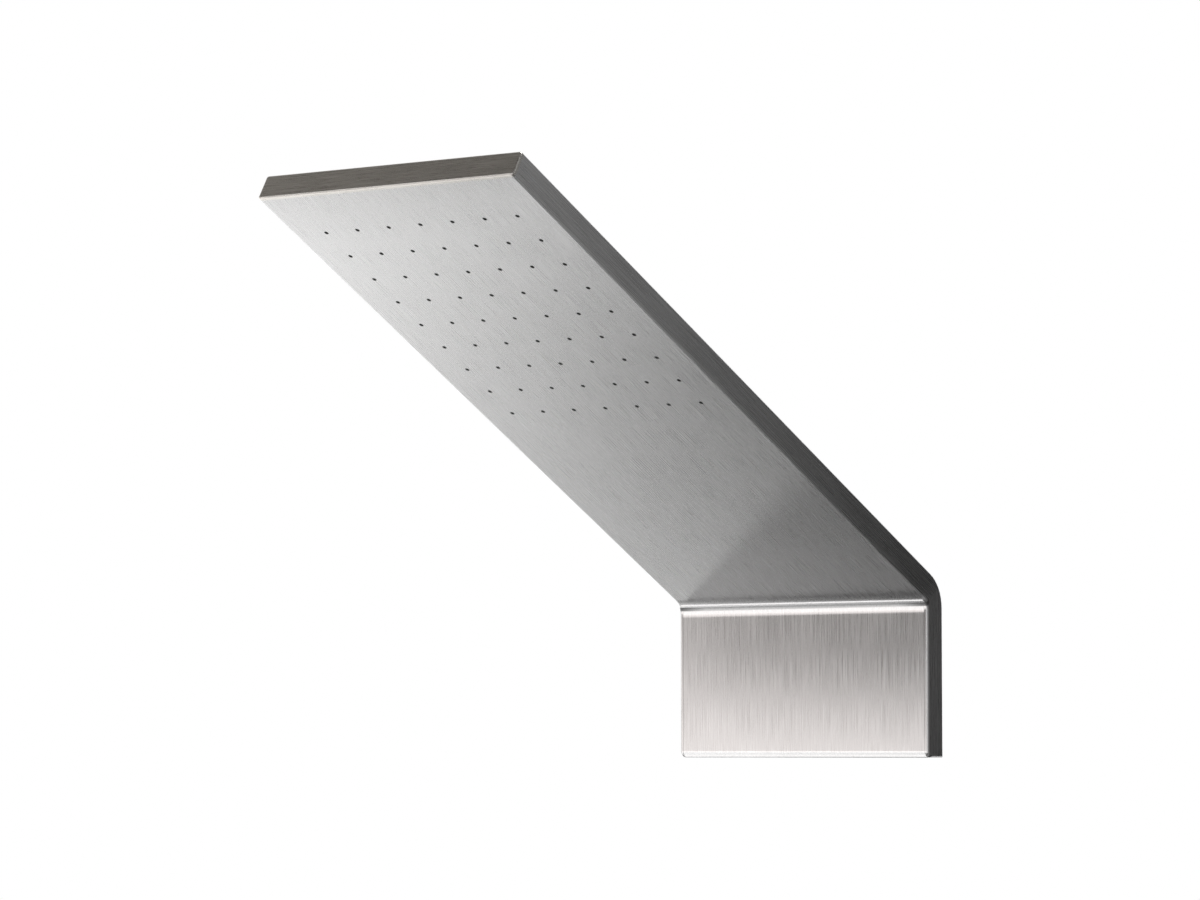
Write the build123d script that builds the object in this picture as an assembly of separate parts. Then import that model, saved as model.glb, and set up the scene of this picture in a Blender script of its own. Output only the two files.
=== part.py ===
# Wall-mounted shower head: a folded and welded stainless steel slab with a drilled spray face.
# Millimetres. X runs across the slab, +Y into the wall and +Z up. The origin is on the inlet axis,
# in the plane of the finished wall.
from build123d import *
import math
import os

# Slab
WIDTH = 120.0
THICKNESS = 10.0
BASE_HEIGHT = 60.0           # bottom edge to the fold line of the front face
INLET_HEIGHT = 30.0          # inlet axis above the bottom edge
ARM_LENGTH = 282.5           # fold line of the front face to the tip
FOLD_ANGLE = 60.0            # how far the arm leans forward from upright, in degrees

# Sheet metal of the slab
SHEET = 1.5
FRONT_FOLD_RADIUS = 6.5      # hollow side of the fold in the front sheet
TOP_FOLD_RADIUS = 15.0       # outside of the fold in the top sheet
FLANGE_RADIUS = 2.5          # outside of the small folds: flange under the base, lip at the wall
EDGE_RADIUS = 1.0            # long outer edges, ground soft
TIP_EDGE_RADIUS = 0.6        # edges of the end plate

# Spray holes
HOLE_DIAMETER = 1.5
HOLE_PITCH = 15.0
HOLE_SIDE_MARGIN = 15.0      # least from the outer columns to the sides
HOLE_ROWS = 9
HOLE_TIP_MARGIN = 23.5       # centre of the last row to the tip

# Water way inside the slab
PAN_SHEET = 1.0
PAN_FLANGE = 4.0             # weld flange round a pressed pan
PAN_CORNER = 6.0
PAN_EDGE_RADIUS = 1.5
SPRAY_PAN_MARGIN = 8.0       # outer holes to the outside of the pan
INLET_PAN_WIDTH = 46.0
INLET_PAN_HEIGHT = 28.0
FEED_WIDTH = 26.0
FEED_WALL = 0.6
BRAZE_GAP = 0.05             # room for filler round a brazed joint

# Wall adapter, G 1/2
THREAD_DIAMETER = 20.955
THREAD_LENGTH = 14.0         # behind the wall plane
THREAD_CHAMFER = 1.0
THREAD_RELIEF = 1.2          # depth of the groove between collar and thread
COLLAR = 2.0
WASHER = 1.2
WASHER_WIDTH = 2.9           # from its bore to its rim, which is the collar's too
WASHER_GAP = 0.15            # round the thread
KEY_WIDTH = 12.0             # hexagon for the fitting key, across flats
ADAPTER_GAP = 0.3            # collar to the inlet pan

# Inlet spigot
SPIGOT_DIAMETER = 15.0
SPIGOT_BORE = 8.5
SPIGOT_REACH = 9.0           # behind the wall plane
SPIGOT_GAP = 0.05            # to the adapter's bore
LEAD_IN = 0.5
O_RING_SECTION = 1.3
O_RING_GAP = 0.02
O_RING_GROOVE = 1.9
O_RING_PITCH = 4.0
FIRST_O_RING = 1.0           # centre of the first ring behind the wall plane

# Flow regulator and filter in the mouth of the spigot
CARTRIDGE_DIAMETER = 10.4
CARTRIDGE_GAP = 0.05
REGULATOR_LENGTH = 4.6
REGULATOR_CORE = 4.4
REGULATOR_RIM = 0.9
REGULATOR_FLOOR = 1.6
REGULATOR_PORTS = 8
REGULATOR_PORT_DIAMETER = 1.0
REGULATOR_RING_GAP = 0.05
FILTER_LENGTH = 1.2
FILTER_RIM = 0.8
FILTER_SHEET = 0.4
FILTER_HOLE = 0.9
FILTER_HOLE_PITCH = 1.6
FILTER_ROWS = 5              # rows and columns of holes before the rim trims them

# Wall bracket
BRACKET_SHEET = 2.0
BRACKET_FOLD_RADIUS = 2.5
BRACKET_SIDE_GAP = 1.0       # to the side plates
BRACKET_FRONT_GAP = 0.5      # lower flange to the flange of the inlet pan
WALL_LEG = 4.5               # flat of the top sheet at the wall, between its fold and its lip
SHELF_DEPTH = 6.5            # upper flange, out from the wall
LIP_DEPTH = 6.0              # lip of the top sheet that rests on it
NOTCH_GAP = 3.0              # lip and upper flange to the feed tube
COLLAR_GAP = 1.0             # plate to the adapter's collar
SCREW_SPACING_X = 84.0
SCREW_SPACING_Z = 24.0
SCREW_HOLE = 5.5

# Grub screws under the base
GRUB_DIAMETER = 4.0
GRUB_LENGTH = 8.0
GRUB_RECESS = 0.5
GRUB_CHAMFER = 0.5
GRUB_SPACING = 80.0
GRUB_KEY_WIDTH = 2.0
GRUB_KEY_DEPTH = 2.5
GRUB_HOLE_GAP = 0.25         # in the flange
NUT_WIDTH = 7.0
NUT_HEIGHT = 3.2
NUT_GAP = 0.02               # thread flanks

# Cutters are this many walls long, so that they pass a wall on both sides
CUTTER_WALLS = 4

# Shares of a hole pitch below this are rounding errors
ROUNDING = 1e-6

# Places worked out from the sizes above
LEAN = math.radians(FOLD_ANGLE)
ALONG = (-math.sin(LEAN), math.cos(LEAN))        # out along the arm, as (y, z)
INWARD = (math.cos(LEAN), math.sin(LEAN))        # from the spray face into the slab, as (y, z)
BOTTOM = -INLET_HEIGHT
FOLD_Z = BASE_HEIGHT - INLET_HEIGHT
INNER_WIDTH = WIDTH - 2 * SHEET
ARM_END = ARM_LENGTH - SHEET                     # where the sheets meet the end plate
COLLAR_FRONT = -(WASHER + COLLAR)
COLLAR_RADIUS = THREAD_DIAMETER / 2 + WASHER_GAP + WASHER_WIDTH
INLET_PAN_BACK = COLLAR_FRONT - ADAPTER_GAP
PAN_DEPTH = THICKNESS - SHEET + INLET_PAN_BACK
FEED_DEPTH = PAN_DEPTH - PAN_SHEET - 2 * BRAZE_GAP
HOLE_COLUMNS = math.floor((WIDTH - 2 * HOLE_SIDE_MARGIN) / HOLE_PITCH + ROUNDING) + 1
HOLE_FIELD_LENGTH = (HOLE_ROWS - 1) * HOLE_PITCH
HOLE_FIELD_WIDTH = (HOLE_COLUMNS - 1) * HOLE_PITCH
HOLE_FIELD_CENTRE = ARM_LENGTH - HOLE_TIP_MARGIN - HOLE_FIELD_LENGTH / 2
SPRAY_PAN_LENGTH = HOLE_FIELD_LENGTH + 2 * SPRAY_PAN_MARGIN
SPRAY_PAN_WIDTH = HOLE_FIELD_WIDTH + 2 * SPRAY_PAN_MARGIN
BRACKET_LOW = BOTTOM + GRUB_RECESS + GRUB_LENGTH
TOP_FOLD_END = FOLD_Z + (THICKNESS - TOP_FOLD_RADIUS) * math.tan(LEAN / 2)
BRACKET_HIGH = TOP_FOLD_END - WALL_LEG - FLANGE_RADIUS
NOTCH_WIDTH = FEED_WIDTH + 2 * NOTCH_GAP
GRUB_Y = -(THICKNESS - FLANGE_RADIUS) / 2       # middle of the flat of the flange
SOCKET_END = SPIGOT_REACH + LEAD_IN
CARTRIDGE_RADIUS = CARTRIDGE_DIAMETER / 2
CARTRIDGE_LENGTH = REGULATOR_LENGTH + FILTER_LENGTH
ALONG_INLET = Rot(-90, 0, 0)                     # turns a piece on the Z axis onto the inlet axis


def on_arm(depth, run):
    """Point (y, z) at a depth behind the spray face and a run along the arm from the fold line."""
    y = -THICKNESS + depth * INWARD[0] + run * ALONG[0]
    z = FOLD_Z + depth * INWARD[1] + run * ALONG[1]
    return (y, z)


def fold_corner(depth):
    """Point (y, z) where base and arm would meet, unrounded, at a depth behind the front face."""
    return (-THICKNESS + depth, FOLD_Z + depth * math.tan(LEAN / 2))


def arm_plane(depth, run):
    """Plane along the arm, facing into the slab, with its y axis out along the arm."""
    return Plane(origin=(0, *on_arm(depth, run)), x_dir=(-1, 0, 0), z_dir=(0, *INWARD))


def base_plane(depth):
    """Plane along the base, facing the wall, level with the inlet axis, with its y axis up."""
    return Plane(origin=(0, -THICKNESS + depth, 0), x_dir=(-1, 0, 0), z_dir=(0, 1, 0))


def folded_sheet(outline, radii, thickness, width, side):
    """Sheet of even thickness, folded along one of its faces, whose outline is given as (y, z)."""
    face_line = FilletPolyline(*outline, radius=radii)
    section = make_face(offset(face_line, thickness, kind=Kind.INTERSECTION, side=side))
    return extrude(Plane.YZ * section, width / 2, both=True)


def turned(*outline):
    """Ring turned about the inlet axis from an outline of (radius, y) points."""
    return revolve(make_face(Polyline(*outline, close=True)), Axis.Y)


def pressed_pan(width, length):
    """Shallow pan with a weld flange, open on its own XY plane and as deep as the water way."""
    wall = RectangleRounded(width, length, PAN_CORNER)
    body = extrude(wall, PAN_DEPTH)
    body = fillet(body.faces().sort_by(Axis.Z)[-1].edges(), PAN_EDGE_RADIUS)
    flange = extrude(RectangleRounded(width + 2 * PAN_FLANGE, length + 2 * PAN_FLANGE,
                                      PAN_CORNER + PAN_FLANGE), PAN_SHEET)
    inside = extrude(RectangleRounded(width - 2 * PAN_SHEET, length - 2 * PAN_SHEET,
                                      PAN_CORNER - PAN_SHEET), PAN_DEPTH - PAN_SHEET)
    return body + flange - inside


def flat_tube(grow):
    """Flat oval bar round the fold from pan to pan, on the feed tube's line, grown all round."""
    middle = SHEET + BRAZE_GAP + FEED_DEPTH / 2
    start = (-THICKNESS + middle, INLET_PAN_HEIGHT / 2 - PAN_SHEET)
    end = on_arm(middle, HOLE_FIELD_CENTRE - SPRAY_PAN_LENGTH / 2 + PAN_SHEET)
    fold_radius = FRONT_FOLD_RADIUS + middle
    path = Plane.YZ * FilletPolyline(start, fold_corner(middle), end, radius=[fold_radius])
    depth = FEED_DEPTH + 2 * grow
    section = Plane(origin=(0, *start)) * SlotOverall(FEED_WIDTH + 2 * grow, depth)
    return sweep(section, path)


def drill(diameter, wall):
    """Cutter for a round hole through a wall, centred on one of the wall's faces."""
    return Cylinder(diameter / 2, CUTTER_WALLS * wall)


def grub_places():
    """Axes of the two grub screws, at the bottom of the base."""
    return [Pos(side * GRUB_SPACING / 2, GRUB_Y, BOTTOM) for side in (-1, 1)]


# Slab

def front_sheet():
    """Flange under the base, base front, fold and drilled spray face, folded from one sheet."""
    outline = [(0, BOTTOM), (-THICKNESS, BOTTOM), fold_corner(0), on_arm(0, ARM_END)]
    sheet = folded_sheet(outline, [FLANGE_RADIUS, FRONT_FOLD_RADIUS], SHEET, INNER_WIDTH, Side.RIGHT)
    spray_drill = drill(HOLE_DIAMETER, SHEET)
    field = GridLocations(HOLE_PITCH, HOLE_PITCH, HOLE_COLUMNS, HOLE_ROWS)
    sheet -= [arm_plane(0, HOLE_FIELD_CENTRE) * spot * spray_drill for spot in field]
    grub_drill = drill(GRUB_DIAMETER + 2 * GRUB_HOLE_GAP, SHEET)
    return sheet - [place * grub_drill for place in grub_places()]


def top_sheet():
    """Top of the arm and outer fold, with a lip at the wall that rests on the bracket."""
    outline = [(-LIP_DEPTH, BRACKET_HIGH), (0, BRACKET_HIGH), fold_corner(THICKNESS),
               on_arm(THICKNESS, ARM_END)]
    sheet = folded_sheet(outline, [FLANGE_RADIUS, TOP_FOLD_RADIUS], SHEET, INNER_WIDTH, Side.LEFT)
    notch = Box(NOTCH_WIDTH, 2 * (LIP_DEPTH - FLANGE_RADIUS), CUTTER_WALLS * SHEET)
    return sheet - Pos(0, -LIP_DEPTH, BRACKET_HIGH) * notch


def right_side_plate():
    """Side outline of the slab up to the end plate, cut from sheet, with soft outer edges."""
    outline = FilletPolyline((0, BOTTOM), (-THICKNESS, BOTTOM), fold_corner(0), on_arm(0, ARM_END),
                             on_arm(THICKNESS, ARM_END), fold_corner(THICKNESS), close=True,
                             radius=[0, FLANGE_RADIUS, FRONT_FOLD_RADIUS, 0, 0, TOP_FOLD_RADIUS])
    plate = extrude(Plane.YZ.offset(WIDTH / 2) * make_face(outline), -SHEET)
    outer_edges = plate.faces().sort_by(Axis.X)[-1].edges()
    arm_axis = Axis((0, 0, 0), (0, *ALONG))
    return fillet(outer_edges.sort_by(arm_axis)[:-1], EDGE_RADIUS)


def tip_plate():
    """End plate of the arm, over the ends of the sheets and side plates."""
    end_face = Plane(origin=(0, *on_arm(THICKNESS / 2, ARM_LENGTH)), x_dir=(1, 0, 0), z_dir=(0, *ALONG))
    plate = extrude(RectangleRounded(WIDTH, THICKNESS, EDGE_RADIUS), -SHEET)
    plate = fillet(plate.faces().sort_by(Axis.Z)[-1].edges(), TIP_EDGE_RADIUS)
    return end_face * plate


# Water way

def spray_pan():
    """Pan behind the spray holes, welded to the inside of the spray face."""
    pan = arm_plane(SHEET, HOLE_FIELD_CENTRE) * pressed_pan(SPRAY_PAN_WIDTH, SPRAY_PAN_LENGTH)
    return pan - flat_tube(BRAZE_GAP)


def inlet_pan():
    """Pan behind the base front, with a hole for the spigot in its back."""
    pan = base_plane(SHEET) * pressed_pan(INLET_PAN_WIDTH, INLET_PAN_HEIGHT)
    spigot_drill = drill(SPIGOT_DIAMETER + 2 * BRAZE_GAP, PAN_SHEET)
    pan -= Pos(0, INLET_PAN_BACK, 0) * ALONG_INLET * spigot_drill
    return pan - flat_tube(BRAZE_GAP)


def feed_tube():
    """Flat oval tube round the fold that joins the two pans."""
    return flat_tube(0) - flat_tube(-FEED_WALL)


def inlet_spigot():
    """Turned tube with two seal grooves and a counterbore for the regulator and the filter."""
    outer = SPIGOT_DIAMETER / 2
    inner = SPIGOT_BORE / 2
    start = INLET_PAN_BACK - PAN_SHEET
    shoulder = SPIGOT_REACH - CARTRIDGE_LENGTH
    spigot = turned((inner, start), (outer, start), (outer, SPIGOT_REACH - LEAD_IN),
                    (outer - LEAD_IN, SPIGOT_REACH), (CARTRIDGE_RADIUS, SPIGOT_REACH),
                    (CARTRIDGE_RADIUS, shoulder), (inner, shoulder))
    floor = outer + SPIGOT_GAP - O_RING_SECTION
    for y in o_ring_places():
        low = y - O_RING_GROOVE / 2
        high = y + O_RING_GROOVE / 2
        spigot -= turned((floor, low), (2 * outer, low), (2 * outer, high), (floor, high))
    return spigot


def o_ring_places():
    """Places of the two seals along the inlet axis."""
    return [FIRST_O_RING, FIRST_O_RING + O_RING_PITCH]


def spigot_o_rings():
    """Two seals, as squeezed between the grooves and the adapter's bore."""
    middle = SPIGOT_DIAMETER / 2 + SPIGOT_GAP - O_RING_SECTION / 2
    ring = ALONG_INLET * Torus(middle, O_RING_SECTION / 2 - O_RING_GAP)
    return [Pos(0, y, 0) * ring for y in o_ring_places()]


def regulator_channel():
    """Inner and outer radius of the channel that holds the regulator's ring."""
    return (REGULATOR_CORE / 2, CARTRIDGE_RADIUS - CARTRIDGE_GAP - REGULATOR_RIM)


def flow_regulator():
    """Moulded limiter: a cup with a core, a ring channel open to the supply and a ring of ports."""
    start = SPIGOT_REACH - CARTRIDGE_LENGTH
    end = start + REGULATOR_LENGTH
    core, wall = regulator_channel()
    outer = CARTRIDGE_RADIUS - CARTRIDGE_GAP
    body = turned((0, start), (outer, start), (outer, end), (wall, end), (wall, start + REGULATOR_FLOOR),
                  (core, start + REGULATOR_FLOOR), (core, end), (0, end))
    port_drill = drill(REGULATOR_PORT_DIAMETER, REGULATOR_FLOOR)
    ports = PolarLocations((core + wall) / 2, REGULATOR_PORTS)
    return body - [Pos(0, start, 0) * ALONG_INLET * spot * port_drill for spot in ports]


def regulator_ring():
    """Rubber ring that narrows the regulator's ports as the pressure rises."""
    core, wall = regulator_channel()
    section = (wall - core) / 2 - REGULATOR_RING_GAP
    floor = SPIGOT_REACH - CARTRIDGE_LENGTH + REGULATOR_FLOOR
    return Pos(0, floor + section, 0) * ALONG_INLET * Torus((core + wall) / 2, section)


def filter_screen():
    """Perforated disc with a rim, pressed in ahead of the regulator."""
    outer = CARTRIDGE_RADIUS - CARTRIDGE_GAP
    rim = outer - FILTER_RIM
    start = SPIGOT_REACH - FILTER_LENGTH
    screen = turned((0, SPIGOT_REACH - FILTER_SHEET), (rim, SPIGOT_REACH - FILTER_SHEET), (rim, start),
                    (outer, start), (outer, SPIGOT_REACH), (0, SPIGOT_REACH))
    hole_drill = drill(FILTER_HOLE, FILTER_LENGTH)
    for spot in HexLocations(FILTER_HOLE_PITCH / 2, FILTER_ROWS, FILTER_ROWS):
        reach = math.hypot(spot.position.X, spot.position.Y) + FILTER_HOLE
        if reach < rim:
            screen -= Pos(0, SPIGOT_REACH, 0) * ALONG_INLET * spot * hole_drill
    return screen


# Wall side

def wall_adapter():
    """Brass adapter: G 1/2 thread into the supply, collar, smooth socket and hexagon for a key."""
    thread = THREAD_DIAMETER / 2
    relief = thread - THREAD_RELIEF
    bore = SPIGOT_DIAMETER / 2 + SPIGOT_GAP
    key = KEY_WIDTH / 2
    body = turned((bore + LEAD_IN, COLLAR_FRONT), (COLLAR_RADIUS, COLLAR_FRONT),
                  (COLLAR_RADIUS, -WASHER),
                  (relief, -WASHER), (relief, 0), (thread, 0), (thread, THREAD_LENGTH - THREAD_CHAMFER),
                  (thread - THREAD_CHAMFER, THREAD_LENGTH), (key, THREAD_LENGTH), (key, SOCKET_END),
                  (bore, SOCKET_END), (bore, COLLAR_FRONT + LEAD_IN))
    key_hole = extrude(RegularPolygon(key, 6, major_radius=False), 2 * (THREAD_LENGTH - SOCKET_END))
    return body - Pos(0, SOCKET_END, 0) * ALONG_INLET * key_hole


def adapter_washer():
    """Flat washer between the collar and the supply fitting, level with the wall plane."""
    inner = THREAD_DIAMETER / 2 + WASHER_GAP
    return turned((inner, -WASHER), (COLLAR_RADIUS, -WASHER), (COLLAR_RADIUS, 0), (inner, 0))


def wall_bracket():
    """Folded plate with four screw holes, a shelf for the top sheet's lip and a lower flange."""
    reach = THICKNESS - SHEET - PAN_SHEET - BRACKET_FRONT_GAP
    outline = [(-reach, BRACKET_LOW), (0, BRACKET_LOW), (0, BRACKET_HIGH), (-SHELF_DEPTH, BRACKET_HIGH)]
    width = INNER_WIDTH - 2 * BRACKET_SIDE_GAP
    fold_radii = [BRACKET_FOLD_RADIUS, BRACKET_FOLD_RADIUS]
    bracket = folded_sheet(outline, fold_radii, BRACKET_SHEET, width, Side.LEFT)
    notch = Box(NOTCH_WIDTH, 2 * (SHELF_DEPTH - BRACKET_FOLD_RADIUS), CUTTER_WALLS * BRACKET_SHEET)
    bracket -= Pos(0, -SHELF_DEPTH, BRACKET_HIGH) * notch
    bracket -= ALONG_INLET * drill(2 * (COLLAR_RADIUS + COLLAR_GAP), BRACKET_SHEET)
    screw_drill = drill(SCREW_HOLE, BRACKET_SHEET)
    corners = GridLocations(SCREW_SPACING_X, SCREW_SPACING_Z, 2, 2)
    return bracket - [ALONG_INLET * spot * screw_drill for spot in corners]


def weld_nuts():
    """Two nuts welded inside the flange under the base."""
    nut = extrude(RegularPolygon(NUT_WIDTH / 2, 6, major_radius=False), NUT_HEIGHT)
    nut -= drill(GRUB_DIAMETER + 2 * NUT_GAP, NUT_HEIGHT)
    return [place * Pos(0, 0, SHEET) * nut for place in grub_places()]


def grub_screws():
    """Two socket screws, flat on the bracket's lower flange and sunk below the base."""
    middle = GRUB_RECESS + GRUB_LENGTH / 2
    screw = Pos(0, 0, middle) * Cylinder(GRUB_DIAMETER / 2, GRUB_LENGTH)
    screw = chamfer(screw.edges().filter_by(GeomType.CIRCLE), GRUB_CHAMFER)
    key = extrude(RegularPolygon(GRUB_KEY_WIDTH / 2, 6, major_radius=False), GRUB_KEY_DEPTH)
    screw -= Pos(0, 0, GRUB_RECESS) * key
    return [place * screw for place in grub_places()]


def save(name, shape):
    """Write one piece, or a group of like pieces, to its own file."""
    solids = shape if isinstance(shape, list) else [shape]
    export_step(Compound(children=[piece.solid() for piece in solids]), f"parts/{name}.step")


os.makedirs("parts", exist_ok=True)
right_plate = right_side_plate()
save("front_sheet", front_sheet())
save("top_sheet", top_sheet())
save("right_side_plate", right_plate)
save("left_side_plate", mirror(right_plate, Plane.YZ))
save("tip_plate", tip_plate())
save("spray_pan", spray_pan())
save("inlet_pan", inlet_pan())
save("feed_tube", feed_tube())
save("inlet_spigot", inlet_spigot())
save("spigot_o_rings", spigot_o_rings())
save("flow_regulator", flow_regulator())
save("regulator_ring", regulator_ring())
save("filter_screen", filter_screen())
save("wall_adapter", wall_adapter())
save("adapter_washer", adapter_washer())
save("wall_bracket", wall_bracket())
save("weld_nuts", weld_nuts())
save("grub_screws", grub_screws())
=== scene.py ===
# Looks of the wall-mounted shower head: finishes, thread, studio and camera.
# Metres. X runs across the slab, +Y into the wall and +Z up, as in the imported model.
import math
from collections import namedtuple

import bpy
from mathutils import Matrix, Vector


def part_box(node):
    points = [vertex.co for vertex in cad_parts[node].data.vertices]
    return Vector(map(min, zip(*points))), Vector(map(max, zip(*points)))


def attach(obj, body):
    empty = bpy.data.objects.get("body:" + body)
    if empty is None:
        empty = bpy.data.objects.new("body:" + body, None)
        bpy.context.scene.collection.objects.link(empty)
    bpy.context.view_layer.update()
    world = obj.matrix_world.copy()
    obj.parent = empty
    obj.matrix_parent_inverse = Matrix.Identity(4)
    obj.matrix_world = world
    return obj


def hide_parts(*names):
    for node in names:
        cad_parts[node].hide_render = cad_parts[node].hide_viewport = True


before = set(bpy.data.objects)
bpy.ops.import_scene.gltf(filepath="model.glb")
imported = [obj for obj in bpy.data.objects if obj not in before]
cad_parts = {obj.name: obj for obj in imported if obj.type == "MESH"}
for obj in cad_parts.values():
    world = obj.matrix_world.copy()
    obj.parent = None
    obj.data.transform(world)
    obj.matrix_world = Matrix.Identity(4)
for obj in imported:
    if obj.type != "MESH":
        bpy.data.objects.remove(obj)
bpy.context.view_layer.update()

# Slab, as packed
THICKNESS = 0.010
SHEET = 0.0015                                          # its sheets and side plates
HALF_WIDTH = 0.060
FOLD_Z = 0.030                                          # fold line of the front face
ARM_LENGTH = 0.2825
LEAN = math.radians(60)
ACROSS = Vector((1, 0, 0))
DEEP = Vector((0, 1, 0))
UP = Vector((0, 0, 1))
ALONG = Vector((0, -math.sin(LEAN), math.cos(LEAN)))    # out along the arm
INWARD = Vector((0, math.cos(LEAN), math.sin(LEAN)))    # from the spray face into the slab
FOLD = Vector((0, -THICKNESS, FOLD_Z))
ARM_MIDDLE = FOLD + ALONG * (ARM_LENGTH / 2)
SIDE_MIDDLE = ARM_MIDDLE + ACROSS * HALF_WIDTH + INWARD * (THICKNESS / 2)
TIP_MIDDLE = FOLD + ALONG * ARM_LENGTH + INWARD * (THICKNESS / 2)
BASE_MIDDLE = FOLD - UP * FOLD_Z
CLOUD_MIDDLE = BASE_MIDDLE + 0.012 * UP                 # of the dark cloud on the base front
ON_FACE = 0.00002                                       # how near counts as on a face

# Spray holes: their size, the rim round each over which their painted shade fades, their pitch, and the field
# that they fill on the arm
HOLE_RADIUS = 0.00075
HOLE_SHADED_RIM = 0.00022
HOLE_SHADE = 0.97
HOLE_PITCH = 0.015
HOLES_FROM_TIP = 0.0235
HOLE_LAST_ROW = ARM_LENGTH - HOLES_FROM_TIP
HOLES_RUN = (0.132, 0.266)
HOLES_RUN_SOFT = 0.001
HOLES_REACH = 0.052

# Weld seams on the base, beside the side plates. They fade in below the fold.
SEAM = HALF_WIDTH - SHEET
SEAM_WIDTH = 0.0003
SEAM_SOFT = 0.00008
SEAM_FADE = (0.0, -0.004)
SEAM_SHADE = 0.35

# Painted shade in a strip in the hollow of the fold, by its distance past the plane that halves the fold. It
# darkens from the first shade to the second towards its ends.
FOLD_SHADE_BAND = (-0.0020, -0.0005)
FOLD_SHADE_SOFT = 0.0003
FOLD_SHADE_ENDS = (0.047, 0.058)
FOLD_SHADE_LEVELS = (0.4, 0.8)
DARK_MARK_AND_SHADE = 0.02                                        # grey of the darkest marks and of the painted shade

# Relief left by folding and grinding: the base bows into the fold, the belt leaves a ridge where it stops
# short of the hollow, and it flattens the bottom rim and the lower edge of the tip. Each has a height and the
# stretch over which it rises.
BOW = 0.00025
BOW_RUN = (-0.0052, -0.0022)
RIDGE = 0.00024
RIDGE_PAST_FOLD = (0.0009, -0.0001)
RIM = 0.0020
RIM_DEPTH = (0.0, 0.0025)
TIP_EDGE = 0.0005
TIP_EDGE_DEPTH = (0.0, 0.0009)

# Satin steel. Marks of the grinding have a width, a length and a detail; clouds and waves have a size along
# each axis of the slab.
STEEL = (0.635, 0.63, 0.632)
END_STEEL = (0.62, 0.60, 0.57)
SATIN_SHADES = (0.76, 1.20)
SATIN_ROUGHNESS = (0.23, 0.34)
ANISOTROPY = 0.75
FINE_MARKS = (0.00022, 0.018, 2.0)
COARSE_MARKS = (0.00050, 0.036, 1.0)
COARSE_PART = 0.15
MARK_HEIGHT = 0.00002
MARK_STRENGTH = 0.35
CLOUDS = (0.022, 0.040, 0.022)
CLOUD_PART = 0.1
WAVES = (0.030, 0.022, 0.030)
WAVE_HEIGHT = 0.00002
WIDE, RUN = 0, 1                                        # axes of the slab that the grinding can follow
TURN_OF_GRAIN = (-0.007, 0.007)                         # stretch past the fold over which the grinding turns

# Other finishes: mottles to a metre, the sizes of scratches and tool lines, and how far roughness varies
MILL_MOTTLE = 260.0
MILL_SCRATCH = (0.0006, 0.0006, 0.008)
SCRATCH_PART = 0.4
TURNED_STAIN = 180.0
TOOL_LINES = (0.02, 0.00012, 0.02)
UNEVEN = 0.08
TURNED_SHINE = 0.06
NOISE_RANGE = (0.3, 0.7)                                # where most values of a noise lie

# Camera, fitted to the photo
CAMERA_PLACE = Vector((1.17034, -1.57148, -0.02399))
CAMERA_TURN = math.radians(39.142)
CAMERA_TILT = math.radians(3.3287)
CAMERA_ROLL = math.radians(-0.0839)
CAMERA_LENS = 150.762
CAMERA_SENSOR = 36.0
CAMERA_CLIP = (0.05, 50.0)
LEFT_FRONT = Vector((-math.sin(CAMERA_TURN), -math.cos(CAMERA_TURN), 0))
RIGHT_FRONT = Vector((math.cos(CAMERA_TURN), -math.sin(CAMERA_TURN), 0))

# Studio
FLOOR_Z = -1.00
FLOOR_RADIUS = 3.0
FLOOR_SIDES = 96
FLOOR_GREYS = (0.86, 0.90)
FLOOR_SPECKLE = 40.0                                    # to a metre
WORLD_LIGHT = 0.55                                      # world as light on matt surfaces
LAMP_PLACE = Vector((0.2, 0.4, 1.6))
LAMP_TARGET = Vector((0, -0.1, 0.05))
LAMP_SIZE = 0.9
LAMP_POWER = 28.0
WHITE = (1.0, 1.0, 0.995, 1)
ROSY = (1.0, 0.948, 0.925, 1)
WARM = (1.0, 0.95, 0.89, 1)

# Wall adapter, as packed, and the depth and pitch of its G 1/2 thread
COLLAR_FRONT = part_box("wall_adapter")[0].y
COLLAR_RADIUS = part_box("wall_adapter")[1].x
COLLAR_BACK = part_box("adapter_washer")[0].y
ADAPTER_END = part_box("wall_adapter")[1].y
THREAD_RADIUS = 0.0104775
THREAD_PITCH = 0.0018143
THREAD_DEPTH = 0.00116
THREAD_CHAMFER = 0.001
NECK_DEPTH = 0.0012
NECK_RADIUS = THREAD_RADIUS - NECK_DEPTH
BORE_RADIUS = 0.00755
LEAD_IN = 0.0005
SOCKET_END = 0.0095
HEXAGON = 0.006                                         # from the axis to a flat
RING_STEPS = 96
RINGS_TO_PITCH = 12
SHARP = math.radians(35)                                # edges above this angle stay sharp

# Place on the slab: as one vector, then across it, its run from the fold line along base or arm, its depth
# behind the front face, and its distance past the plane that halves the fold
Slab = namedtuple("Slab", "place across run depth past_fold")

# Glow of a card: its level in the middle, its change along the card's first and second axis, how the second
# axis changes the first and bends the level upwards, and its limits
Glow = namedtuple("Glow", "middle first second twist bend least most", defaults=(0, 0, 0, 0, 0, 3.0))


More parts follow.
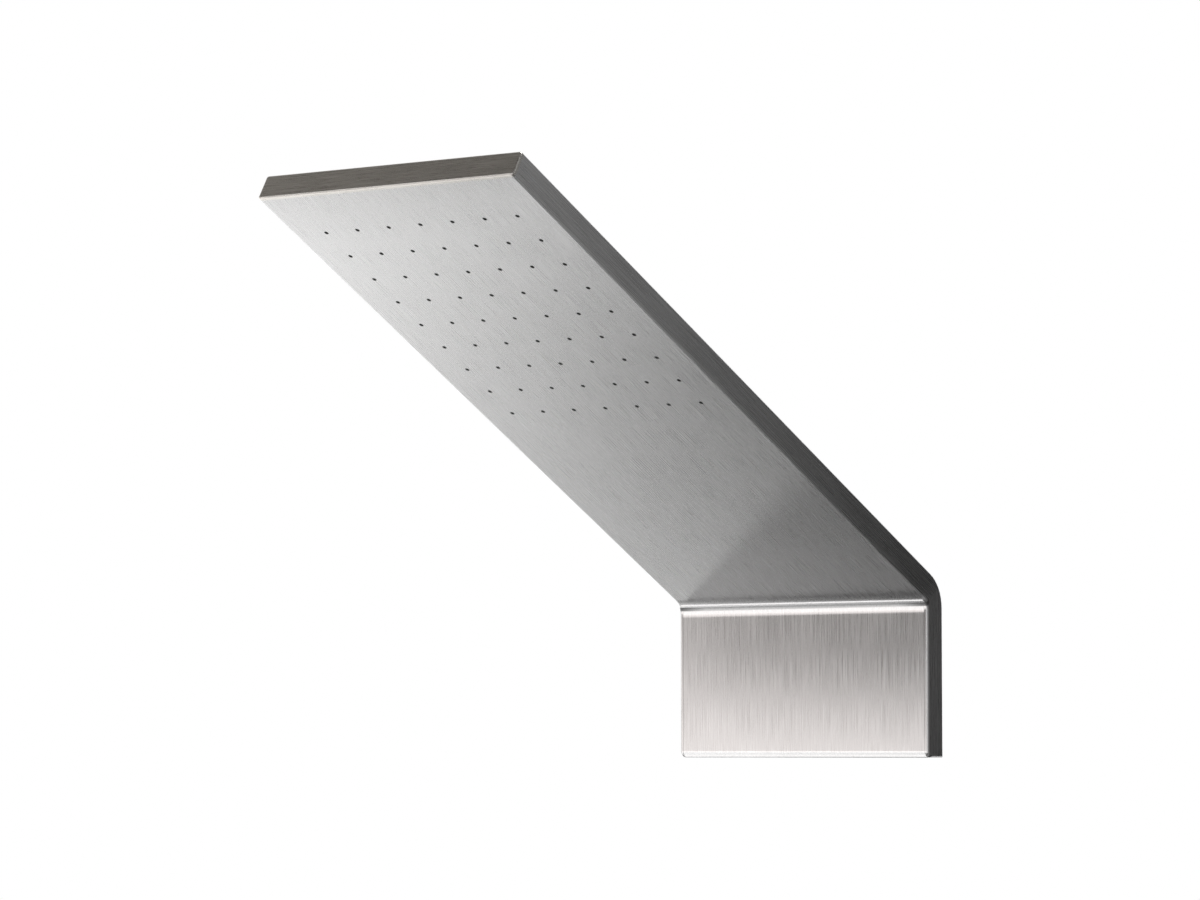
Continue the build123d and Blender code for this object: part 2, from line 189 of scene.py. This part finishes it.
class Nodes:
    """Short hand for filling one node tree."""

    def __init__(self, tree):
        self.tree = tree
        tree.nodes.clear()

    def add(self, kind, inputs=None, **settings):
        node = self.tree.nodes.new("ShaderNode" + kind)
        for name, value in settings.items():
            setattr(node, name, value)
        for socket, value in (inputs or {}).items():
            self.put(node.inputs[socket], value)
        return node

    def put(self, socket, value):
        if isinstance(value, bpy.types.NodeSocket):
            self.tree.links.new(value, socket)
        else:
            socket.default_value = value

    def math(self, operation, first, second=0.0):
        return self.add("Math", {0: first, 1: second}, operation=operation).outputs[0]

    def times(self, product, *factors):
        for factor in factors:
            product = self.math("MULTIPLY", product, factor)
        return product

    def line(self, value, slope, start):
        """Start plus slope times value."""
        return self.add("Math", {0: value, 1: slope, 2: start}, operation="MULTIPLY_ADD").outputs[0]

    def share(self, first, second, part):
        """Sum of two values, of which the second has the given part."""
        return self.math("ADD", self.times(first, 1 - part), self.times(second, part))

    def vector(self, operation, first, second):
        return self.add("VectorMath", {0: first, 1: second}, operation=operation).outputs[0]

    def dot(self, vector, axis):
        return self.add("VectorMath", {0: vector, 1: axis}, operation="DOT_PRODUCT").outputs["Value"]

    def along(self, vector, *axes):
        """Vector of the lengths of another along three axes."""
        lengths = [self.dot(vector, axis) for axis in axes]
        return self.add("CombineXYZ", dict(enumerate(lengths))).outputs[0]

    def constant(self, vector):
        return self.add("CombineXYZ", dict(enumerate(vector))).outputs[0]

    def noise(self, place, scale, detail):
        return self.add("TexNoise", {"Vector": place, "Scale": scale, "Detail": detail}).outputs["Fac"]

    def streaks(self, place, sizes, detail):
        """Noise stretched to a size along each axis."""
        scale = tuple(1 / size for size in sizes)
        return self.noise(self.vector("MULTIPLY", place, scale), 1.0, detail)

    def fit(self, value, low, high, new_low, new_high):
        """Value moved from one range to another and held within it."""
        settings = {"Value": value, "From Min": low, "From Max": high, "To Min": new_low, "To Max": new_high}
        return self.add("MapRange", settings, clamp=True).outputs["Result"]

    def spread(self, noise, low, high):
        """Noise moved from its usual range to another."""
        return self.fit(noise, *NOISE_RANGE, low, high)

    def ease(self, value, low, high):
        """Smooth step from 0 to 1 between two values."""
        settings = {"Value": value, "From Min": low, "From Max": high}
        return self.add("MapRange", settings, interpolation_type="SMOOTHSTEP").outputs["Result"]

    def band(self, value, low, high, soft):
        """1 between two values, with soft ends."""
        rise = self.ease(value, low - soft, low + soft)
        fall = self.ease(value, high + soft, high - soft)
        return self.times(rise, fall)

    def blend(self, factor, first, second):
        """Mix of two vectors, by the Mix node's sockets for vectors."""
        return self.add("Mix", {0: factor, 4: first, 5: second}, data_type="VECTOR").outputs[1]

    def tint(self, factor, first, second):
        """Mix of two colours, by the Mix node's sockets for colours."""
        return self.add("Mix", {0: factor, 6: first, 7: second}, data_type="RGBA").outputs[2]

    def shades(self, noise, colour, dark, light):
        """Colour that the noise takes from a darker to a lighter shade, both given as factors."""
        darker = opaque(dark * level for level in colour)
        lighter = opaque(light * level for level in colour)
        return self.tint(self.spread(noise, 0.0, 1.0), darker, lighter)

    def bump(self, height, distance, strength=1.0, below=None):
        """Normals of a relief, on top of the normals below it."""
        node = self.add("Bump", {"Strength": strength, "Distance": distance, "Height": height})
        if below is not None:
            self.put(node.inputs["Normal"], below)
        return node.outputs[0]


def opaque(colour):
    return (*colour, 1.0)


def grey(level):
    return opaque((level, level, level))


def new_material(name):
    """Empty material with its node helper."""
    material = bpy.data.materials.new(name)
    material.use_nodes = True
    return material, Nodes(material.node_tree)


def finish_material(nodes, shader):
    """Wire a shader to the material's output."""
    nodes.add("OutputMaterial", {"Surface": shader.outputs[0]})


def object_place(nodes):
    return nodes.add("TexCoord").outputs["Object"]


def slab_place(nodes):
    """Where a point lies on the slab."""
    from_fold = nodes.vector("SUBTRACT", object_place(nodes), FOLD)
    past_fold = nodes.dot(from_fold, (0, -math.sin(LEAN / 2), math.cos(LEAN / 2)))
    on_arm = nodes.math("GREATER_THAN", past_fold)
    base_place = nodes.along(from_fold, ACROSS, UP, DEEP)
    arm_place = nodes.along(from_fold, ACROSS, ALONG, INWARD)
    place = nodes.blend(on_arm, base_place, arm_place)
    across, run, depth = nodes.add("SeparateXYZ", {0: place}).outputs
    return Slab(place, across, run, depth, past_fold)


def painted_hole_shade(nodes, slab):
    """Painted shade: 1 in the spray holes, falling to 0 over their rims."""
    def from_nearest(value, start):
        offset = nodes.math("SUBTRACT", value, start)
        wrap = nodes.add("Math", {0: offset, 1: HOLE_PITCH / 2, 2: -HOLE_PITCH / 2}, operation="WRAP")
        return wrap.outputs[0]

    to_hole = nodes.add("CombineXYZ", {0: from_nearest(slab.across, 0.0),
                                       1: from_nearest(slab.run, HOLE_LAST_ROW)})
    distance = nodes.add("VectorMath", {0: to_hole.outputs[0]}, operation="LENGTH").outputs["Value"]
    near = nodes.ease(distance, HOLE_RADIUS + HOLE_SHADED_RIM, HOLE_RADIUS)
    in_run = nodes.band(slab.run, *HOLES_RUN, HOLES_RUN_SOFT)
    in_sheet = nodes.math("LESS_THAN", slab.depth, SHEET)
    in_reach = nodes.math("LESS_THAN", nodes.math("ABSOLUTE", slab.across), HOLES_REACH)
    return nodes.times(near, in_run, in_sheet, in_reach)


def seam_shade(nodes, slab, from_middle):
    """1 along the weld seams on the base."""
    seam = nodes.band(from_middle, SEAM - SEAM_WIDTH, SEAM, SEAM_SOFT)
    return nodes.times(seam, nodes.ease(slab.run, *SEAM_FADE))


def painted_fold_shade(nodes, slab, from_middle):
    """Painted shade in the hollow of the fold, darker towards its ends."""
    fold_band = nodes.band(slab.past_fold, *FOLD_SHADE_BAND, FOLD_SHADE_SOFT)
    near_face = nodes.ease(slab.depth, SHEET, 0.0)
    return nodes.times(fold_band, near_face, nodes.fit(from_middle, *FOLD_SHADE_ENDS, *FOLD_SHADE_LEVELS))


def marks_and_painted_shade(nodes, slab):
    """How dark the slab is painted, from 0 to 1: its weld seams, and painted shade in the spray holes and in
    the hollow of the fold.
    """
    from_middle = nodes.math("ABSOLUTE", slab.across)
    seam = nodes.times(seam_shade(nodes, slab, from_middle), SEAM_SHADE)
    # Painted shade in the spray holes and over their rims
    holes = nodes.times(painted_hole_shade(nodes, slab), HOLE_SHADE)
    # Weld seams, together with the painted shade in the hollow of the fold
    marks = nodes.math("MAXIMUM", seam, painted_fold_shade(nodes, slab, from_middle))
    return nodes.math("MAXIMUM", marks, holes)


def fold_relief(nodes, slab):
    """Height that folding and grinding left on the folded sheets."""
    bow = nodes.times(nodes.ease(slab.run, *BOW_RUN), BOW)
    ridge = nodes.times(nodes.ease(slab.past_fold, *RIDGE_PAST_FOLD), RIDGE)
    rim = nodes.times(nodes.ease(slab.depth, *RIM_DEPTH), RIM)
    return nodes.math("ADD", nodes.math("ADD", bow, ridge), rim)


def tip_relief(nodes, slab):
    """Height that grinding left on the tip, along its lower edge."""
    return nodes.times(nodes.ease(slab.depth, *TIP_EDGE_DEPTH), TIP_EDGE)


def sheet_tangent(nodes, slab):
    """Across the grinding of the folded sheets."""
    return nodes.constant(ACROSS)


def side_tangent(nodes, slab):
    """Across the grinding of the side plates: into the slab on their outer faces, across it on the edges."""
    on_face = nodes.blend(nodes.ease(slab.past_fold, *TURN_OF_GRAIN), DEEP, INWARD)
    outer = nodes.math("GREATER_THAN", nodes.math("ABSOLUTE", slab.across), HALF_WIDTH - ON_FACE)
    return nodes.blend(outer, ACROSS, on_face)


def tip_tangent(nodes, slab):
    """Across the grinding of the end plate."""
    return nodes.constant(INWARD)


def grinding_marks(nodes, slab, grain):
    """Fine and coarse marks along one axis of the slab."""
    def marks(width, length, detail):
        sizes = [width, width, width]
        sizes[grain] = length
        return nodes.streaks(slab.place, sizes, detail)

    return nodes.share(marks(*FINE_MARKS), marks(*COARSE_MARKS), COARSE_PART)


def satin_normals(nodes, slab, marks, relief_of):
    """Normals of the relief, the slow waves of the sheet and the grinding marks."""
    relief = None
    if relief_of:
        relief = nodes.bump(relief_of(nodes, slab), distance=1.0)
    waves = nodes.streaks(slab.place, WAVES, detail=0.0)
    wavy = nodes.bump(waves, WAVE_HEIGHT, below=relief)
    return nodes.bump(marks, MARK_HEIGHT, MARK_STRENGTH, below=wavy)


def satin_steel(name, colour, grain, tangent_of, relief_of=None):
    """Ground stainless steel. Grain is the axis of the slab that the grinding runs along, tangent_of gives
    the direction across it, and relief_of the height that folding and grinding left."""
    material, nodes = new_material(name)
    slab = slab_place(nodes)
    marks = grinding_marks(nodes, slab, grain)
    clouds = nodes.streaks(slab.place, CLOUDS, detail=1.0)
    tone = nodes.share(marks, clouds, CLOUD_PART)
    steel = nodes.shades(tone, colour, *SATIN_SHADES)
    shader = nodes.add("BsdfPrincipled", {
        # Base colour goes to grey at the weld seams and with the painted shade in the spray holes and the
        # hollow of the fold
        "Base Color": nodes.tint(marks_and_painted_shade(nodes, slab), steel, grey(DARK_MARK_AND_SHADE)),
        "Metallic": 1.0,
        "Roughness": nodes.spread(tone, *SATIN_ROUGHNESS),
        "Anisotropic": ANISOTROPY,
        "Normal": satin_normals(nodes, slab, marks, relief_of),
        "Tangent": tangent_of(nodes, slab),
    })
    finish_material(nodes, shader)
    return material


def mill_steel(name, colour, roughness):
    """Plain pressed or rolled steel, slightly mottled."""
    material, nodes = new_material(name)
    place = object_place(nodes)
    mottle = nodes.noise(place, MILL_MOTTLE, detail=4.0)
    scratches = nodes.streaks(place, MILL_SCRATCH, detail=2.0)
    tone = nodes.share(mottle, scratches, SCRATCH_PART)
    shader = nodes.add("BsdfPrincipled", {
        "Base Color": nodes.shades(tone, colour, dark=0.8, light=1.1),
        "Metallic": 1.0,
        "Roughness": nodes.spread(mottle, roughness - UNEVEN, roughness + UNEVEN),
        "Normal": nodes.bump(tone, distance=0.00003, strength=0.3),
    })
    finish_material(nodes, shader)
    return material


def turned_metal(name, colour, roughness):
    """Metal turned about the inlet axis, with fine tool lines."""
    material, nodes = new_material(name)
    place = object_place(nodes)
    stain = nodes.noise(place, TURNED_STAIN, detail=3.0)
    lines = nodes.streaks(place, TOOL_LINES, detail=2.0)
    shader = nodes.add("BsdfPrincipled", {
        "Base Color": nodes.shades(stain, colour, dark=0.78, light=1.08),
        "Metallic": 1.0,
        "Roughness": nodes.spread(stain, roughness - TURNED_SHINE, roughness + UNEVEN),
        "Normal": nodes.bump(lines, distance=0.00002, strength=0.4),
    })
    finish_material(nodes, shader)
    return material


def soft_stuff(name, dark, light, grain_size, roughness):
    """Rubber, fibre or plastic: matt, with grain of one size."""
    material, nodes = new_material(name)
    grain = nodes.noise(object_place(nodes), 1 / grain_size, detail=4.0)
    shader = nodes.add("BsdfPrincipled", {
        "Base Color": nodes.tint(nodes.spread(grain, 0.0, 1.0), opaque(dark), opaque(light)),
        "Roughness": nodes.spread(grain, roughness - UNEVEN, roughness + UNEVEN),
        "Normal": nodes.bump(grain, distance=0.00004, strength=0.4),
    })
    finish_material(nodes, shader)
    return material


def dress(material, *names):
    """Give CAD nodes a material."""
    for name in names:
        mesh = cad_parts[name].data
        mesh.materials.clear()
        mesh.materials.append(material)


def new_piece(name, data):
    """Object in the scene for a mesh, lamp or camera."""
    piece = bpy.data.objects.new(name, data)
    bpy.context.collection.objects.link(piece)
    return piece


def closed_mesh(name, rings):
    """Closed mesh through rings of points, joined in turn and back to the first."""
    mesh = bpy.data.meshes.new(name)
    points = [point for points_of_ring in rings for point in points_of_ring]
    count = len(rings[0])
    faces = []
    for row in range(len(rings)):
        after = (row + 1) % len(rings)
        for column in range(count):
            beside = (column + 1) % count
            faces.append((row * count + column, after * count + column,
                          after * count + beside, row * count + beside))
    mesh.from_pydata(points, [], faces)
    mesh.shade_smooth()
    mesh.set_sharp_from_angle(angle=SHARP)
    return mesh


def ring(radius_at, y):
    """Ring of points about the inlet axis, with its radius as a function of the angle."""
    points = []
    for step in range(RING_STEPS):
        angle = 2 * math.pi * step / RING_STEPS
        radius = radius_at(angle)
        points.append((radius * math.cos(angle), y, radius * math.sin(angle)))
    return points


def round_ring(radius, y):
    return ring(lambda angle: radius, y)


def hexagon_ring(y):
    return ring(lambda angle: HEXAGON / math.cos((angle % (math.pi / 3)) - math.pi / 6), y)


def thread_ring(y):
    """Ring through the thread, whose crest falls away over the chamfer at its end."""
    crest = min(THREAD_RADIUS, THREAD_RADIUS - THREAD_CHAMFER + (ADAPTER_END - y))

    def radius_at(angle):
        turn = 2 * math.pi * y / THREAD_PITCH - angle
        return min(crest, THREAD_RADIUS - THREAD_DEPTH * (0.5 - 0.5 * math.cos(turn)))

    return ring(radius_at, y)


def threaded_adapter():
    """Wall adapter as packed, with its G 1/2 thread cut into the plain cylinder."""
    collar = [round_ring(BORE_RADIUS + LEAD_IN, COLLAR_FRONT), round_ring(COLLAR_RADIUS, COLLAR_FRONT),
              round_ring(COLLAR_RADIUS, COLLAR_BACK)]
    neck = [round_ring(NECK_RADIUS, COLLAR_BACK), round_ring(NECK_RADIUS, 0.0)]
    rows = RINGS_TO_PITCH * round(ADAPTER_END / THREAD_PITCH)
    thread = [thread_ring(ADAPTER_END * row / rows) for row in range(rows + 1)]
    socket = [hexagon_ring(ADAPTER_END), hexagon_ring(SOCKET_END)]
    bore = [round_ring(BORE_RADIUS, SOCKET_END), round_ring(BORE_RADIUS, COLLAR_FRONT + LEAD_IN)]
    mesh = closed_mesh("threaded_adapter", collar + neck + thread + socket + bore)
    mesh.materials.append(turned_metal("adapter_brass", (0.76, 0.58, 0.28), roughness=0.26))
    adapter = new_piece("threaded_adapter", mesh)
    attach(adapter, "root")
    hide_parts("wall_adapter")


def card_light(name, colour, centre, first_axis, second_axis, glow):
    """Light of a card, graded from its centre along two axes."""
    material, nodes = new_material(name)
    from_centre = nodes.vector("SUBTRACT", object_place(nodes), centre)
    first = nodes.dot(from_centre, first_axis)
    second = nodes.dot(from_centre, second_axis)
    level = nodes.line(second, glow.second, glow.middle)
    level = nodes.line(first, nodes.line(second, glow.twist, glow.first), level)
    level = nodes.line(nodes.times(second, second), glow.bend, level)
    held = nodes.fit(level, glow.least, glow.most, glow.least, glow.most)
    finish_material(nodes, nodes.add("Emission", {"Color": colour, "Strength": held}))
    return material


def studio_card(name, centre, first_axis, second_axis, reach, glow, colour=WHITE, stretch=1.0):
    """Card that only reflections see. Reach is how far it goes from its centre: back and forth along its
    first axis, then along its second. Stretch is the length on the card that the glow counts as one."""
    back, forth, down, up = reach
    corners = [centre + first_axis * a + second_axis * b
               for a, b in ((-back, -down), (forth, -down), (forth, up), (-back, up))]
    mesh = bpy.data.meshes.new(name)
    mesh.from_pydata(corners, [], [(0, 1, 2, 3)])
    mesh.materials.append(card_light(name, colour, centre, first_axis / stretch, second_axis / stretch, glow))
    card = new_piece(name, mesh)
    card.visible_camera = False
    card.visible_diffuse = False
    card.visible_transmission = False
    card.visible_shadow = False


def face_card(name, point, normal, first_axis, second_axis, distance, reach, glow, colour=WHITE):
    """Card along a flat face, centred where the camera sees it in a point of that face. Its glow changes by
    lengths on the face."""
    view = (point - CAMERA_PLACE).normalized()
    bounce = view - 2 * view.dot(normal) * normal
    travel = distance / bounce.dot(normal)
    stretch = 1 + travel / (point - CAMERA_PLACE).length
    studio_card(name, point + travel * bounce, first_axis, second_axis, reach, glow, colour, stretch)


def cards_for_faces():
    """Cards that give the flat faces their shades. Without them the faces would show the white world."""
    # Underside: lightest on the left of the tip, darkest on the right towards the bend
    face_card("under_card", ARM_MIDDLE, -INWARD, ACROSS, ALONG, distance=0.33, reach=(1.0, 0.36, 0.65, 0.25),
              glow=Glow(0.49, first=-5.9, second=3.4, bend=14.0, least=0.04))
    # Base front: lighter downwards, with a dark cloud on its upper half
    face_card("base_card", BASE_MIDDLE, -DEEP, ACROSS, UP, distance=0.35, reach=(0.7, 0.26, 0.13, 0.08),
              glow=Glow(0.69, first=-4.5, second=-23.0, twist=-110.0, least=0.12, most=2.0), colour=ROSY)
    face_card("cloud_card", CLOUD_MIDDLE, -DEEP, ACROSS, UP, distance=0.20,
              reach=(0.050, 0.105, 0.0135, 0.025), glow=Glow(0.13, second=15.0, least=0.04), colour=ROSY)
    # Right side plate
    face_card("side_card", SIDE_MIDDLE, ACROSS, DEEP, UP, distance=0.25, reach=(0.28, 3.0, 0.6, 0.7),
              glow=Glow(0.135, first=-0.65, second=0.38, least=0.03, most=0.3))
    # End plate at the tip
    face_card("tip_card", TIP_MIDDLE, ALONG, ACROSS, INWARD, distance=0.30, reach=(0.7, 0.9, 0.5, 0.7),
              glow=Glow(0.185, first=-0.4, least=0.1, most=0.3), colour=WARM)


def cards_for_edges():
    """Cards for the rounded edges, and for the steel on both sides of the fold."""
    # Rounded long edge on the right, and its upper end
    face_card("edge_under_card", ARM_MIDDLE, -INWARD, ACROSS, ALONG, distance=0.33,
              reach=(-0.36, 1.3, 0.65, 0.33), glow=Glow(0.05, second=1.5, least=0.02, most=0.6))
    studio_card("edge_side_card", Vector((0.30, 0.03, -0.04)), ALONG, INWARD,
                reach=(0.05, 0.30, 0.32, 0.16), glow=Glow(0.17, first=0.55, least=0.05, most=0.4))
    # Underside near the bend
    studio_card("front_card", Vector((-0.454, -0.273, -0.50)), ACROSS, -DEEP,
                reach=(0.8, 0.5, 0.14, 0.20), glow=Glow(0.58, first=-16.0, least=0.02, most=1.8))
    # Rounded edges, from below
    studio_card("floor_card", Vector((0.05, -0.273, -0.55)), ACROSS, -DEEP,
                reach=(0.46, 0.6, 0.12, 0.40), glow=Glow(0.03))
    # Right corner of the tip
    studio_card("right_card", Vector((0.45, -0.65, 0.75)), DEEP, UP,
                reach=(0.55, 0.55, 0.40, 0.40), glow=Glow(0.12))
    # Light band under the fold
    studio_card("left_box", 1.2 * LEFT_FRONT - 0.30 * UP, RIGHT_FRONT, UP,
                reach=(0.5, 0.5, 0.34, 0.35), glow=Glow(1.7))
    # Upper half of the long edge on the right
    studio_card("camera_card", 0.9 * RIGHT_FRONT, LEFT_FRONT, UP,
                reach=(0.9, 0.75, 0.6, 0.6), glow=Glow(0.45, first=1.3, least=0.05, most=1.1))


def floor_paint():
    """Pale matt paint, slightly speckled."""
    material, nodes = new_material("floor_paint")
    speckle = nodes.noise(object_place(nodes), FLOOR_SPECKLE, 3.0)
    pale, paler = FLOOR_GREYS
    paint = nodes.tint(speckle, grey(pale), grey(paler))
    finish_material(nodes, nodes.add("BsdfDiffuse", {"Color": paint}))
    return material


def pale_floor():
    """Plain round floor that keeps the object's shadow."""
    corners = []
    for step in range(FLOOR_SIDES):
        angle = 2 * math.pi * step / FLOOR_SIDES
        corners.append((FLOOR_RADIUS * math.cos(angle), FLOOR_RADIUS * math.sin(angle), FLOOR_Z))
    mesh = bpy.data.meshes.new("floor")
    mesh.from_pydata(corners, [], [tuple(range(FLOOR_SIDES))])
    mesh.materials.append(floor_paint())
    floor = new_piece("floor", mesh)


def white_world():
    """White to the eye and in reflections, softer as light on matt surfaces."""
    world = bpy.data.worlds.new("studio")
    world.use_nodes = True
    nodes = Nodes(world.node_tree)
    path = nodes.add("LightPath")
    seen = nodes.math("MAXIMUM", path.outputs["Is Camera Ray"], path.outputs["Is Glossy Ray"])
    seen = nodes.math("MAXIMUM", seen, path.outputs["Is Transmission Ray"])
    strength = nodes.fit(seen, 0.0, 1.0, WORLD_LIGHT, 1.0)
    shine = nodes.add("Background", {"Color": grey(1.0), "Strength": strength})
    nodes.add("OutputWorld", {"Surface": shine.outputs[0]})
    bpy.context.scene.world = world


def key_lamp():
    """Square area lamp from above and behind."""
    lamp = bpy.data.lights.new("key", "AREA")
    lamp.shape = "SQUARE"
    lamp.size = LAMP_SIZE
    lamp.energy = LAMP_POWER
    piece = new_piece("key", lamp)
    piece.location = LAMP_PLACE
    piece.rotation_euler = (LAMP_TARGET - LAMP_PLACE).to_track_quat("-Z", "Y").to_euler()


def fitted_camera():
    """Camera at the photo's viewing angle."""
    data = bpy.data.cameras.new("camera")
    data.lens = CAMERA_LENS
    data.sensor_width = CAMERA_SENSOR
    data.clip_start, data.clip_end = CAMERA_CLIP
    camera = new_piece("camera", data)
    turn = Matrix.Rotation(CAMERA_TURN, 4, "Z")
    tilt = Matrix.Rotation(math.pi / 2 + CAMERA_TILT, 4, "X")
    roll = Matrix.Rotation(CAMERA_ROLL, 4, "Z")
    camera.matrix_world = Matrix.Translation(CAMERA_PLACE) @ turn @ tilt @ roll
    bpy.context.scene.camera = camera


# Finishes of the slab
dress(satin_steel("satin_sheet", STEEL, RUN, sheet_tangent, fold_relief), "front_sheet", "top_sheet")
dress(satin_steel("satin_side", STEEL, RUN, side_tangent), "left_side_plate", "right_side_plate")
dress(satin_steel("satin_end", END_STEEL, WIDE, tip_tangent, tip_relief), "tip_plate")

# Finishes of the pieces in and behind it
dress(mill_steel("pressed_steel", (0.55, 0.55, 0.54), roughness=0.36), "spray_pan", "inlet_pan", "feed_tube")
dress(mill_steel("bracket_steel", (0.58, 0.58, 0.57), roughness=0.40), "wall_bracket")
dress(mill_steel("screw_steel", (0.50, 0.50, 0.50), roughness=0.32), "weld_nuts", "grub_screws")
dress(turned_metal("turned_steel", (0.58, 0.58, 0.57), roughness=0.28), "inlet_spigot", "filter_screen")
threaded_adapter()
dress(soft_stuff("seal_rubber", (0.012, 0.012, 0.012), (0.03, 0.03, 0.03), grain_size=0.0012,
                 roughness=0.55), "spigot_o_rings", "regulator_ring")
dress(soft_stuff("washer_fibre", (0.30, 0.11, 0.06), (0.46, 0.20, 0.12), grain_size=0.0007,
                 roughness=0.75), "adapter_washer")
dress(soft_stuff("regulator_plastic", (0.68, 0.69, 0.66), (0.78, 0.79, 0.76), grain_size=0.003,
                 roughness=0.42), "flow_regulator")

# Studio
cards_for_faces()
cards_for_edges()
pale_floor()
white_world()
key_lamp()
fitted_camera()
bpy.context.scene.view_settings.view_transform = "Standard"
